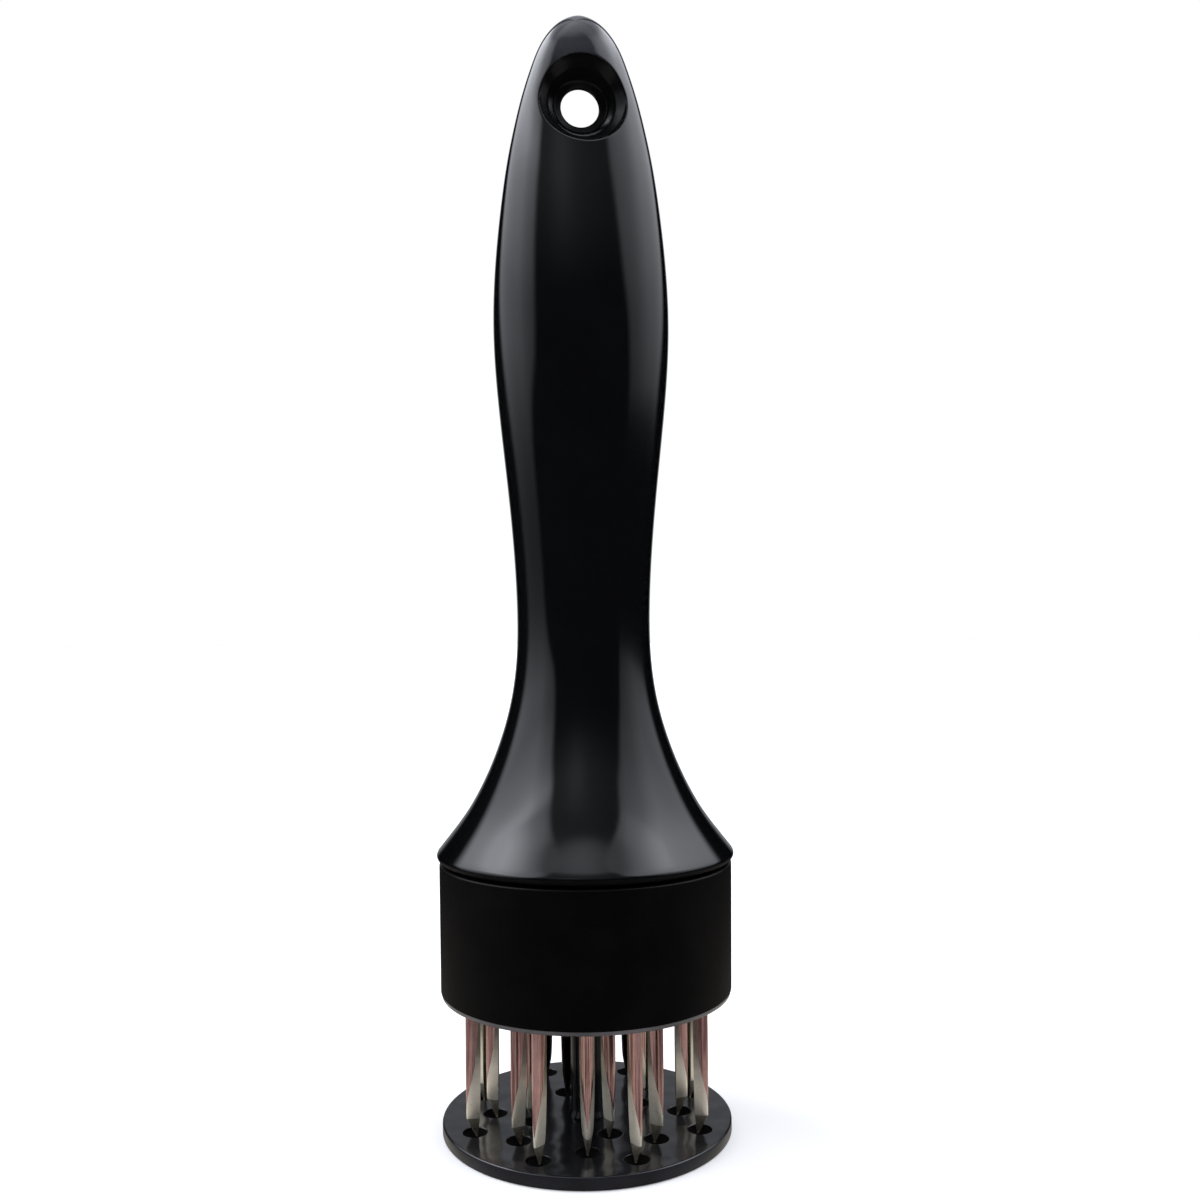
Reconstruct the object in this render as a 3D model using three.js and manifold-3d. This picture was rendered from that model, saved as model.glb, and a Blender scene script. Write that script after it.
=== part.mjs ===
// Blade meat tenderizer: a gloss black handle with a hanging hole, a screwed collar, a head with
// twenty folded steel blades, and a sprung guard plate that rides up the blades when it is pressed.
// Millimetres, +Z up. The origin is the centre of the guard plate's underside, on the surface the
// tool stands on. The hanging hole runs along Y.
import * as THREE from "three";
import { mergeVertices } from "three/addons/utils/BufferGeometryUtils.js";
import Module from "manifold-3d";

const wasm = await Module();
wasm.setup();

// ---------- driving dimensions ----------
const TOTAL_H = 200; // overall length
// Handle half width at each height, from the bell's rim to the tip.
const HANDLE_PROFILE = [
  [47.7, 25.6],
  [48.2, 26.2],
  [49.2, 26.4],
  [50.8, 25.0],
  [53, 23.25],
  [56, 21.05],
  [60, 18.75],
  [64, 16.85],
  [68, 15.3],
  [73, 13.75],
  [79, 12.55],
  [86, 11.95],
  [94, 12.0],
  [106, 12.75],
  [118, 13.95],
  [130, 15.2],
  [142, 15.9],
  [154, 15.5],
  [164, 14.5],
  [173, 13.2],
  [180, 11.75],
  [186, 10.2],
  [190, 8.9],
  [193.6, 7.55],
  [196.4, 5.9],
  [198.4, 3.95],
  [199.5, 2.0],
  [TOTAL_H, 0],
];
// Half depth over half width: round at the bell, flattened towards the hanging hole.
const HANDLE_FLATNESS = [
  [47, 1],
  [60, 1],
  [75, 0.98],
  [95, 0.92],
  [145, 0.76],
  [165, 0.68],
  [180, 0.6],
  [190, 0.58],
  [200, 0.58],
];
// The bore that the moulding core leaves, open at the bottom.
const HANDLE_BORE = [
  [30, 21.6],
  [48.5, 21.6],
  [53, 19.7],
  [60, 15.5],
  [68, 12.3],
  [79, 9.8],
  [92, 8.9],
  [158, 6.4],
  [163, 4.4],
  [165, 0],
];
const HANDLE_SEGMENTS = 36;
const EYE_Z = 183; // hanging hole
// Hanging hole and its dished recess, radius at each distance from the middle plane, both faces.
const EYE_PROFILE = [
  [0, 3.5],
  [0.4, 3.5],
  [0.9, 4.9],
  [3.0, 6.15],
  [4.4, 7.8],
  [12, 10.2],
];

// Screw joint between handle and collar.
const SPIGOT_R = 23.6; // thread root on the handle
const SPIGOT_BOTTOM_Z = 31.1;
const BELL_BOTTOM_Z = 47.7;
const MALE_CREST_R = 24.35;
const FEMALE_CREST_R = 24.0;
const PITCH = 3.2; // right-hand
const MALE_START_Z = 34.9;
const MALE_TURNS = 1.9;
const FEMALE_START_Z = 36.5;
const FEMALE_TURNS = 1.5;

const COLLAR_R_TOP = 26.0;
const COLLAR_R_BOTTOM = 25.8;
const COLLAR_TOP_Z = 47.3;
const COLLAR_BOTTOM_Z = 24.15;
const COLLAR_BORE_R = 24.7;
const LIP_R = 23.5;
const LIP_TOP_Z = 25.6;

// Blade head.
const CLOCK_DEG = -8; // where the thread lets the head stop, seen against the hanging hole
const RING_OUTER = { r: 20.9, first: 22.5, step: 45, count: 8 };
const RING_MIDDLE = { r: 16.4, first: 0, step: 45, count: 8 };
const RING_INNER = { r: 10.0, first: 22.5, step: 90, count: 4 };
const HOLDER_BOTTOM_Z = 24.3;
const HOLDER_TOP_Z = 28.5;
const HOLDER_BOSS_R = 23.2;
const HOLDER_FLANGE_R = 24.4;
const FLANGE_BOTTOM_Z = 25.9;
const POST_BORE_R = 3.2;
const HOUSING_BOTTOM_Z = 28.8;
const HOUSING_FLANGE_TOP_Z = 30.8;
const HOUSING_BORE_R = 5.5;
const HOUSING_R = 7.1;
const HOUSING_TOP_Z = 94;
const HOUSING_SEAT_Z = 91;
const CLAMP_SCREW_RADIUS = 12;

// Blades: a strip bent to a deep arch, crown outwards, with a point ground on its lower end.
const BLADE_TOP_Z = 27.8;
const BLADE_SECTIONS = [
  // height, crown's distance outside the ring, half width, free edges' distance outside the ring
  [BLADE_TOP_Z, 1.6, 1.3, -0.65],
  [13, 1.6, 1.25, -0.65],
  [4.8, 1.5, 0.97, -0.6],
  [1.5, -0.2, 0.18, -0.45],
];
const BLADE_THICKNESS = 0.34;
const BLADE_ARCH = 2.2; // power of the arch: 1 is a V, 2 a parabola
const SLOT = { from: -1.05, to: 1.9, width: 3.2 }; // through the holder
const HEAD_RECESS = { from: -1.3, to: 2.1, width: 4.0 };
const BLADE_HEAD = { from: -1.0, to: 1.8, width: 3.4 };

// Guard plate and its post.
const PLATE_R = 25.6;
const PLATE_T = 2.2;
const PLATE_HOLE_R = 2.1;
const POST_R = 2.9;
const POST_BOTTOM_Z = 2.5;
const POST_FLANGE_Z = 29.0;
const POST_FLANGE_T = 2.4;
const POST_FLANGE_R = 4.7;

// Return spring.
const SPRING_R = 4.25;
const SPRING_WIRE_R = 0.4;
const SPRING_BOTTOM_Z = 31.7;
const SPRING_TOP_Z = 90.7;
const SPRING_TURNS = 12;

// ---------- helpers ----------
const solidOf = (geometry) => {
  const g = geometry.clone();
  g.deleteAttribute("normal");
  g.deleteAttribute("uv");
  const merged = mergeVertices(g, 1e-4);
  const index = merged.index.array;
  const kept = [];
  for (let i = 0; i < index.length; i += 3) {
    const [a, b, c] = [index[i], index[i + 1], index[i + 2]];
    if (a !== b && b !== c && a !== c) kept.push(a, b, c);
  }
  const make = (triVerts) =>
    new wasm.Manifold(
      new wasm.Mesh({
        numProp: 3,
        vertProperties: new Float32Array(merged.attributes.position.array),
        triVerts: new Uint32Array(triVerts),
      }),
    );
  let made = make(kept);
  if (made.volume() < 0) {
    const turned = [];
    for (let i = 0; i < kept.length; i += 3)
      turned.push(kept[i], kept[i + 2], kept[i + 1]);
    made = make(turned);
  }
  return made;
};

const geometryOf = (solid) => {
  const m = solid.getMesh();
  const v = new Float32Array(m.numVert * 3);
  for (let i = 0; i < m.numVert; i++)
    v.set(m.vertProperties.subarray(i * m.numProp, i * m.numProp + 3), i * 3);
  const g = new THREE.BufferGeometry();
  g.setAttribute("position", new THREE.BufferAttribute(v, 3));
  g.setIndex(new THREE.BufferAttribute(new Uint32Array(m.triVerts), 1));
  g.computeVertexNormals();
  return g;
};

// Turns [z, r] pairs about Z. The profile starts and ends on the axis, or closes on itself.
const turned = (pairs, segments) => {
  const g = new THREE.LatheGeometry(
    pairs.map(([z, r]) => new THREE.Vector2(r, z)),
    segments,
  );
  g.rotateX(Math.PI / 2);
  return solidOf(g);
};
const onAxis = (pairs) => [
  [pairs[0][0], 0],
  ...pairs.filter(([, r]) => r > 0),
  [pairs[pairs.length - 1][0], 0],
];
const rod = (r, z0, z1, segments) =>
  turned(
    [
      [z0, 0],
      [z0, r],
      [z1, r],
      [z1, 0],
    ],
    segments,
  );
const block = (sx, sy, z0, z1) => {
  const g = new THREE.BoxGeometry(sx, sy, z1 - z0);
  g.translate(0, 0, (z0 + z1) / 2);
  return solidOf(g);
};
// A block that reaches from and to along X.
const offset = ({ from, to, width }, z0, z1) =>
  block(to - from, width, z0, z1).translate([(from + to) / 2, 0, 0]);
// A solid moved to radius r at an angle, its own +X turned outwards.
const atPolar = (solid, r, deg) => solid.translate([r, 0, 0]).rotate([0, 0, deg]);
const lerp = (pairs, x) => {
  if (x <= pairs[0][0]) return pairs[0][1];
  for (let i = 1; i < pairs.length; i++)
    if (x <= pairs[i][0]) {
      const [x0, y0] = pairs[i - 1];
      const [x1, y1] = pairs[i];
      return y0 + ((y1 - y0) * (x - x0)) / (x1 - x0);
    }
  return pairs[pairs.length - 1][1];
};
// A section swept along a helix: section points are [radius, height].
const helix = (section, turns, stepsPerTurn, heightAt) => {
  const shape = new THREE.Shape(section.map(([r, z]) => new THREE.Vector2(r, z)));
  const g = new THREE.ExtrudeGeometry(shape, {
    depth: 1,
    steps: Math.round(turns * stepsPerTurn),
    bevelEnabled: false,
  });
  const p = g.attributes.position;
  for (let i = 0; i < p.count; i++) {
    const [r, z, s] = [p.getX(i), p.getY(i), p.getZ(i)];
    const angle = s * turns * 2 * Math.PI;
    p.setXYZ(i, r * Math.cos(angle), r * Math.sin(angle), z + heightAt(s));
  }
  return solidOf(g);
};

const part = new THREE.Group();
const materials = {
  handle: new THREE.MeshStandardMaterial({ color: 0x0b0c0e, roughness: 0.16, metalness: 0 }),
  collar: new THREE.MeshStandardMaterial({ color: 0x070707, roughness: 0.6, metalness: 0 }),
  head: new THREE.MeshStandardMaterial({ color: 0x121214, roughness: 0.45, metalness: 0 }),
  plate: new THREE.MeshStandardMaterial({ color: 0x141416, roughness: 0.2, metalness: 0 }),
  blade: new THREE.MeshStandardMaterial({ color: 0xc2bcae, roughness: 0.25, metalness: 1 }),
  spring: new THREE.MeshStandardMaterial({ color: 0xa8a8a4, roughness: 0.35, metalness: 1 }),
  screw: new THREE.MeshStandardMaterial({ color: 0xb0b0b0, roughness: 0.3, metalness: 1 }),
};
const add = (name, solid, material) => {
  const mesh = new THREE.Mesh(geometryOf(solid), materials[material].clone());
  mesh.name = name;
  part.add(mesh);
  return mesh;
};

// ---------- handle ----------
const handleBody = (() => {
  const g = new THREE.LatheGeometry(
    onAxis(HANDLE_PROFILE).map(([z, r]) => new THREE.Vector2(r, z)),
    HANDLE_SEGMENTS,
  );
  g.rotateX(Math.PI / 2);
  const p = g.attributes.position;
  for (let i = 0; i < p.count; i++) p.setY(i, p.getY(i) * lerp(HANDLE_FLATNESS, p.getZ(i)));
  return solidOf(g);
})();
const spigot = rod(SPIGOT_R, SPIGOT_BOTTOM_Z, BELL_BOTTOM_Z + 2, HANDLE_SEGMENTS);
const maleThread = helix(
  [
    [SPIGOT_R - 0.4, -0.85],
    [MALE_CREST_R, -0.45],
    [MALE_CREST_R, 0.45],
    [SPIGOT_R - 0.4, 0.85],
  ],
  MALE_TURNS,
  30,
  (s) => MALE_START_Z + s * MALE_TURNS * PITCH,
);
const bore = turned(onAxis(HANDLE_BORE), 24);
const eye = (() => {
  const half = [...EYE_PROFILE];
  const both = [...half.slice(1).reverse().map(([y, r]) => [-y, r]), ...half.slice(1)];
  const s = turned(onAxis(both), 20);
  return s.rotate([90, 0, 0]).translate([0, 0, EYE_Z]);
})();
const handle = handleBody.add(spigot).add(maleThread).subtract(bore).subtract(eye);
add("handle_shell", handle, "handle");

// ---------- collar ----------
const collarBody = turned(
  [
    [COLLAR_BOTTOM_Z, LIP_R],
    [COLLAR_BOTTOM_Z, COLLAR_R_BOTTOM - 0.35],
    [COLLAR_BOTTOM_Z + 0.35, COLLAR_R_BOTTOM],
    [COLLAR_TOP_Z - 0.4, COLLAR_R_TOP],
    [COLLAR_TOP_Z, COLLAR_R_TOP - 0.4],
    [COLLAR_TOP_Z, COLLAR_BORE_R],
    [LIP_TOP_Z, COLLAR_BORE_R],
    [LIP_TOP_Z, LIP_R],
    [COLLAR_BOTTOM_Z, LIP_R],
  ],
  40,
);
const femaleThread = helix(
  [
    [COLLAR_BORE_R + 0.4, -0.85],
    [COLLAR_BORE_R + 0.4, 0.85],
    [FEMALE_CREST_R, 0.45],
    [FEMALE_CREST_R, -0.45],
  ],
  FEMALE_TURNS,
  30,
  (s) => FEMALE_START_Z + s * FEMALE_TURNS * PITCH,
);
add("threaded_collar", collarBody.add(femaleThread), "collar");

// ---------- blade head ----------
const places = [];
for (const [ring, spec] of [
  ["outer", RING_OUTER],
  ["middle", RING_MIDDLE],
  ["inner", RING_INNER],
])
  for (let i = 0; i < spec.count; i++)
    places.push({
      name: `blade_${ring}_${i + 1}`,
      r: spec.r,
      deg: CLOCK_DEG + spec.first + spec.step * i,
    });
const screwAngles = [0, 1, 2, 3].map((i) => CLOCK_DEG + 67.5 + 90 * i);

let holder = turned(
  [
    [HOLDER_BOTTOM_Z, POST_BORE_R],
    [HOLDER_BOTTOM_Z, HOLDER_BOSS_R],
    [FLANGE_BOTTOM_Z, HOLDER_BOSS_R],
    [FLANGE_BOTTOM_Z, HOLDER_FLANGE_R],
    [HOLDER_TOP_Z, HOLDER_FLANGE_R],
    [HOLDER_TOP_Z, POST_BORE_R],
    [HOLDER_BOTTOM_Z, POST_BORE_R],
  ],
  40,
);
for (const { r, deg } of places) {
  holder = holder.subtract(atPolar(offset(SLOT, 20, 32), r, deg));
  holder = holder.subtract(atPolar(offset(HEAD_RECESS, 27.1, 32), r, deg));
}
for (const a of screwAngles)
  holder = holder.subtract(atPolar(rod(1.35, 25.1, 32, 8), CLAMP_SCREW_RADIUS, a));
add("blade_holder", holder, "head");

let housing = turned(
  [
    [HOUSING_BOTTOM_Z, HOUSING_BORE_R],
    [HOUSING_BOTTOM_Z, SPIGOT_R],
    [HOUSING_FLANGE_TOP_Z, SPIGOT_R],
    [HOUSING_FLANGE_TOP_Z, HOUSING_R + 1.4],
    [HOUSING_FLANGE_TOP_Z + 1.4, HOUSING_R],
    [HOUSING_TOP_Z - 0.8, HOUSING_R - 0.25],
    [HOUSING_TOP_Z, HOUSING_R - 1.2],
    [HOUSING_TOP_Z, 0],
    [HOUSING_SEAT_Z, 0],
    [HOUSING_SEAT_Z, HOUSING_BORE_R - 0.1],
    [HOUSING_BOTTOM_Z, HOUSING_BORE_R],
  ],
  28,
);
for (const a of screwAngles)
  housing = housing.subtract(atPolar(rod(1.45, 28, 33, 8), CLAMP_SCREW_RADIUS, a));
add("spring_housing", housing, "head");

const clampScrew = turned(
  [
    [25.4, 0],
    [25.9, 1.0],
    [HOUSING_FLANGE_TOP_Z + 0.1, 1.0],
    [HOUSING_FLANGE_TOP_Z + 0.1, 2.3],
    [HOUSING_FLANGE_TOP_Z + 1.1, 2.3],
    [HOUSING_FLANGE_TOP_Z + 1.7, 1.5],
    [HOUSING_FLANGE_TOP_Z + 1.7, 0],
  ],
  12,
)
  .subtract(block(2.0, 0.5, HOUSING_FLANGE_TOP_Z + 1.0, 34))
  .subtract(block(0.5, 2.0, HOUSING_FLANGE_TOP_Z + 1.0, 34));
screwAngles.forEach((a, i) =>
  add(`clamp_screw_${i + 1}`, atPolar(clampScrew, CLAMP_SCREW_RADIUS, a), "screw"),
);

// ---------- blades ----------
// One blade along Z with its crown towards +X.
const blade = (() => {
  const across = [-1, -0.72, -0.4, 0, 0.4, 0.72, 1];
  const arch = (crown, w, edge) =>
    across.map((u) => [crown - (crown - edge) * Math.abs(u) ** BLADE_ARCH, w * u]);
  const section = (crown, w, edge) => {
    const t = Math.min(BLADE_THICKNESS, 0.42 * w);
    return [...arch(crown, w, edge), ...arch(crown - t, w - 1.03 * t, edge).reverse()];
  };
  const first = BLADE_SECTIONS[0];
  const base = section(...first.slice(1));
  const shape = new THREE.Shape(base.map(([x, y]) => new THREE.Vector2(x, y)));
  const last = BLADE_SECTIONS.length - 1;
  const g = new THREE.ExtrudeGeometry(shape, { depth: 1, steps: last, bevelEnabled: false });
  const p = g.attributes.position;
  for (let i = 0; i < p.count; i++) {
    const k = base.findIndex(
      ([x, y]) => Math.abs(x - p.getX(i)) < 1e-3 && Math.abs(y - p.getY(i)) < 1e-3,
    );
    const [z, crown, w, edge] = BLADE_SECTIONS[Math.round(p.getZ(i) * last)];
    const [x, y] = section(crown, w, edge)[k];
    p.setXYZ(i, x, y, z);
  }
  return solidOf(g).add(offset(BLADE_HEAD, BLADE_TOP_Z - 0.4, HOLDER_TOP_Z - 0.1));
})();
for (const { name, r, deg } of places) add(name, atPolar(blade, r, deg), "blade");

// ---------- guard plate, post and return spring ----------
let plate = turned(
  [
    [0, 0],
    [0, PLATE_R - 0.3],
    [0.3, PLATE_R],
    [PLATE_T - 0.3, PLATE_R],
    [PLATE_T, PLATE_R - 0.3],
    [PLATE_T, 0],
  ],
  40,
);
for (const { r, deg } of places)
  plate = plate.subtract(atPolar(rod(PLATE_HOLE_R, -1, 4, 10), r, deg));
plate = plate.subtract(
  turned(
    [
      [-1, 0],
      [-1, 3.1],
      [0.25, 3.1],
      [1.75, 1.6],
      [4, 1.6],
      [4, 0],
    ],
    16,
  ),
);
add("guard_plate", plate, "plate");

const post = turned(
  [
    [POST_BOTTOM_Z, 1.6],
    [POST_BOTTOM_Z, POST_R],
    [POST_FLANGE_Z, POST_R],
    [POST_FLANGE_Z, POST_FLANGE_R],
    [POST_FLANGE_Z + POST_FLANGE_T, POST_FLANGE_R],
    [POST_FLANGE_Z + POST_FLANGE_T, 3.1],
    [POST_FLANGE_Z + POST_FLANGE_T + 4.6, 2.8],
    [POST_FLANGE_Z + POST_FLANGE_T + 5.2, 2.2],
    [POST_FLANGE_Z + POST_FLANGE_T + 5.2, 0],
    [13.5, 0],
    [12.5, 1.6],
    [POST_BOTTOM_Z, 1.6],
  ],
  20,
);
add("guide_post", post, "plate");

const plateScrew = turned(
  [
    [0.15, 0],
    [0.15, 2.8],
    [1.55, 1.3],
    [11.4, 1.3],
    [12.2, 0],
  ],
  16,
)
  .subtract(block(3.0, 0.6, -1, 0.85))
  .subtract(block(0.6, 3.0, -1, 0.85));
add("plate_screw", plateScrew, "screw");

const springSection = [];
for (let i = 0; i < 5; i++) {
  const a = (i / 5) * 2 * Math.PI;
  springSection.push([
    SPRING_R + SPRING_WIRE_R * Math.cos(a),
    SPRING_WIRE_R * Math.sin(a),
  ]);
}
// The first and last turns lie closed against the flange and the seat.
const springHeight = (s) => {
  const end = 1 / SPRING_TURNS;
  const lo = SPRING_BOTTOM_Z + SPRING_WIRE_R;
  const hi = SPRING_TOP_Z - SPRING_WIRE_R;
  const closed = 2 * SPRING_WIRE_R + 0.15;
  if (s < end) return lo + closed * (s / end);
  if (s > 1 - end) return hi - closed * ((1 - s) / end);
  return lo + closed + (hi - lo - 2 * closed) * ((s - end) / (1 - 2 * end));
};
add("return_spring", helix(springSection, SPRING_TURNS, 10, springHeight), "spring");

export default part;
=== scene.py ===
# Looks of the blade meat tenderizer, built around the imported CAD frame.
# Lengths in this script are in millimetres until a piece is made, and metres in Blender.
import math

import bpy
import numpy as np
from mathutils import Matrix, Vector
from mathutils.geometry import delaunay_2d_cdt


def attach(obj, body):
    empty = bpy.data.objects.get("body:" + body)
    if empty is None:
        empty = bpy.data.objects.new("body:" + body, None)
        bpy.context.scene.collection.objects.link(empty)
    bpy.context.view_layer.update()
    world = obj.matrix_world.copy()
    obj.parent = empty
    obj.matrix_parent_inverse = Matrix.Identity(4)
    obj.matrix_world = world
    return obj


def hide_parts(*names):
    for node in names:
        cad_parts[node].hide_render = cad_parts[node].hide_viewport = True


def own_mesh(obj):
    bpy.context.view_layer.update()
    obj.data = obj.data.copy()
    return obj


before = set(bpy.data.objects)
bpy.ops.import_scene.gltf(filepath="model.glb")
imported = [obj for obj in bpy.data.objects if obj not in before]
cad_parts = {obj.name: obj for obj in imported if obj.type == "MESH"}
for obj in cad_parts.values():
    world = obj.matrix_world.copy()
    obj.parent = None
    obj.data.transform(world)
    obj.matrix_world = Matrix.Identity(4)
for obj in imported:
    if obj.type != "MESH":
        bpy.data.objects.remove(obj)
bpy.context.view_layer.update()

MM = 0.001
CLOCK = math.radians(-8)  # where the head stops, seen against the hanging hole
COLLECTION = bpy.context.scene.collection

# ---------------------------------------------------------------- shader nodes


class Graph:
    """Small helper that adds nodes to one node tree and links them."""

    def __init__(self, tree):
        self.tree = tree

    def node(self, kind, **settings):
        n = self.tree.nodes.new(kind)
        for key, value in settings.items():
            setattr(n, key, value)
        return n

    def put(self, socket, value):
        if isinstance(value, bpy.types.NodeSocket):
            self.tree.links.new(value, socket)
        elif value is not None:
            socket.default_value = value

    def math(self, operation, a, b=None, c=None, clamp=False):
        n = self.node("ShaderNodeMath", operation=operation, use_clamp=clamp)
        for socket, value in zip(n.inputs, (a, b, c)):
            self.put(socket, value)
        return n.outputs[0]

    def add(self, *values):
        total = values[0]
        for v in values[1:]:
            total = self.math("ADD", total, v)
        return total

    def mul(self, *values):
        total = values[0]
        for v in values[1:]:
            total = self.math("MULTIPLY", total, v)
        return total

    def step(self, value, low, high, to_low=0.0, to_high=1.0):
        """Smooth step from low to high, which may fall as well as rise."""
        n = self.node("ShaderNodeMapRange", interpolation_type="SMOOTHSTEP", clamp=True)
        self.put(n.inputs["Value"], value)
        if low <= high:
            ends = (low, high, to_low, to_high)
        else:
            ends = (high, low, to_high, to_low)
        for name, v in zip(("From Min", "From Max", "To Min", "To Max"), ends):
            self.put(n.inputs[name], v)
        return n.outputs["Result"]

    def span(self, value, low, high, to_low, to_high, clamp=True):
        n = self.node("ShaderNodeMapRange", interpolation_type="LINEAR", clamp=clamp)
        for name, v in zip(
            ("Value", "From Min", "From Max", "To Min", "To Max"),
            (value, low, high, to_low, to_high),
        ):
            self.put(n.inputs[name], v)
        return n.outputs["Result"]

    def dot(self, a, vector):
        n = self.node("ShaderNodeVectorMath", operation="DOT_PRODUCT")
        self.put(n.inputs[0], a)
        self.put(n.inputs[1], vector)
        return n.outputs["Value"]

    def curve(self, value, points, top):
        """value, in degrees from -90 to 90, through straight pieces between the points."""
        x = self.span(value, -90, 90, 0, 1)
        n = self.node("ShaderNodeFloatCurve")
        self.put(n.inputs["Value"], x)
        c = n.mapping.curves[0]
        pts = [((p + 90) / 180, v / top) for p, v in points]
        c.points[0].location = pts[0]
        c.points[1].location = pts[-1]
        for p in pts[1:-1]:
            c.points.new(*p)
        for p in c.points:
            p.handle_type = "AUTO_CLAMPED"
        n.mapping.update()
        return self.mul(n.outputs["Value"], top)

    def colour(self, rgb):
        n = self.node("ShaderNodeRGB")
        n.outputs[0].default_value = (*rgb, 1)
        return n.outputs[0]

    def mix(self, factor, a, b, blend="MIX"):
        n = self.node("ShaderNodeMix", data_type="RGBA", blend_type=blend)
        self.put(n.inputs["Factor"], factor)
        for name, v in (("A", a), ("B", b)):
            socket = next(s for s in n.inputs if s.name == name and s.type == "RGBA")
            self.put(socket, (*v, 1) if isinstance(v, tuple) and len(v) == 3 else v)
        return next(s for s in n.outputs if s.type == "RGBA")

    def place(self, scale=(1, 1, 1), rotation=(0, 0, 0)):
        """The piece's own coordinates in millimetres."""
        t = self.node("ShaderNodeTexCoord")
        m = self.node("ShaderNodeMapping")
        self.tree.links.new(t.outputs["Object"], m.inputs["Vector"])
        m.inputs["Scale"].default_value = [1000 * s for s in scale]
        m.inputs["Rotation"].default_value = rotation
        return m.outputs["Vector"]

    def noise(self, vector, scale, detail=2.0, roughness=0.5, distortion=0.0):
        n = self.node("ShaderNodeTexNoise")
        self.put(n.inputs["Vector"], vector)
        n.inputs["Scale"].default_value = scale
        n.inputs["Detail"].default_value = detail
        n.inputs["Roughness"].default_value = roughness
        n.inputs["Distortion"].default_value = distortion
        return n.outputs[0]

    def bump(self, height, strength, distance_mm, normal=None):
        n = self.node("ShaderNodeBump")
        self.put(n.inputs["Height"], height)
        n.inputs["Strength"].default_value = strength
        n.inputs["Distance"].default_value = distance_mm * MM
        if normal is not None:
            self.put(n.inputs["Normal"], normal)
        return n.outputs[0]


def material(name, metallic=0.0, ior=1.5, specular=0.5):
    """An empty Principled material, its graph and its shader."""
    mat = bpy.data.materials.new(name)
    mat.use_nodes = True
    tree = mat.node_tree
    shader = next(n for n in tree.nodes if n.type == "BSDF_PRINCIPLED")
    shader.inputs["Metallic"].default_value = metallic
    shader.inputs["IOR"].default_value = ior
    shader.inputs["Specular IOR Level"].default_value = specular
    return mat, Graph(tree), shader


def gloss_black(name, base, rough, wave=0.0, grain=0.02, specular=0.5, wave_mm=0.35, painted_sheen_tip=None):
    """Moulded black plastic with a polished skin: slow flow marks, a faint orange peel and a few hairline scuffs.
    painted_sheen_tip is a painted reflection: a lighter colour that the upper end reaches between two heights,
    standing in for the light it reflects from above."""
    mat, g, s = material(name, specular=specular)
    where = g.place()
    cloud = g.noise(where, 0.09, 3.0)
    light = tuple(min(1.0, c * 1.5 + 0.0004) for c in base)
    tint = g.mix(cloud, base, light)
    # painted reflection: the upper end takes a lighter colour in place of the light it reflects from above
    if painted_sheen_tip:
        sheen_rgb, low, high = painted_sheen_tip
        xyz = g.node("ShaderNodeSeparateXYZ")
        g.put(xyz.inputs[0], where)
        tint = g.mix(g.step(xyz.outputs[2], low, high), tint, sheen_rgb)
    g.put(s.inputs["Base Color"], tint)
    fine = g.noise(where, 0.9, 4.0)
    scuff = g.noise(g.place(scale=(1.0, 1.0, 0.06)), 3.2, 3.0, 0.6)
    worn = g.step(scuff, 0.66, 0.8)
    roughness = g.add(g.span(fine, 0.3, 0.7, rough * 0.88, rough * 1.12), g.mul(worn, 0.05))
    g.put(s.inputs["Roughness"], roughness)
    normal = g.bump(g.noise(where, 1.6, 2.0), grain, 0.05)
    if wave:
        normal = g.bump(g.noise(where, 0.16, 1.0), wave, wave_mm, normal)
    g.put(s.inputs["Normal"], normal)
    return mat


def satin_black(name, base, rough, specular, grain=0.25, scale=2.6, lift=1.7):
    """Moulded black plastic with a fine spark-eroded grain."""
    mat, g, s = material(name, specular=specular)
    where = g.place()
    cloud = g.noise(where, 0.12, 3.0)
    light = tuple(min(1.0, c * lift) for c in base)
    g.put(s.inputs["Base Color"], g.mix(g.step(cloud, 0.35, 0.7), base, light))
    pits = g.noise(where, scale, 5.0, 0.65)
    g.put(s.inputs["Roughness"], g.span(pits, 0.3, 0.7, rough * 0.9, min(1.0, rough * 1.12)))
    g.put(s.inputs["Normal"], g.bump(pits, grain, 0.06))
    return mat


def steel(name, dark, light, rough, grain_scale, grain=0.12, metallic=1.0, streaks=0.0, upper=None):
    """Stainless steel with drawn or ground lines. grain_scale stretches the lines, and streaks adds
    broader marks along the strip. upper is a duller colour that the strip reaches between two heights."""
    mat, g, s = material(name, metallic=metallic)
    lines = g.noise(g.place(scale=grain_scale), 6.0, 4.0, 0.6)
    cloud = g.noise(g.place(), 0.5, 3.0)
    tone = g.math("MULTIPLY_ADD", lines, 0.6, g.mul(cloud, 0.4))
    tint = g.mix(g.step(tone, 0.3, 0.7), dark, light)
    if upper:
        dull, low, high = upper
        xyz = g.node("ShaderNodeSeparateXYZ")
        g.put(xyz.inputs[0], g.place())
        uneven = g.math("MULTIPLY_ADD", cloud, 5.0, g.math("ADD", xyz.outputs[2], -2.5))
        tint = g.mix(g.step(uneven, low, high), tint, dull)
    if streaks:
        broad = g.noise(g.place(scale=(1.0, 1.0, 0.035)), 2.3, 2.0, 0.55)
        shade = tuple(c * (1 - streaks) for c in dark)
        tint = g.mix(g.step(broad, 0.56, 0.38), tint, shade)
    g.put(s.inputs["Base Color"], tint)
    g.put(s.inputs["Roughness"], g.span(lines, 0.3, 0.7, rough * 0.8, rough * 1.25))
    g.put(s.inputs["Normal"], g.bump(lines, grain, 0.03))
    return mat


# the handle's nose carries a painted reflection, a lighter colour between 187.5 and 193.5 mm
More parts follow.
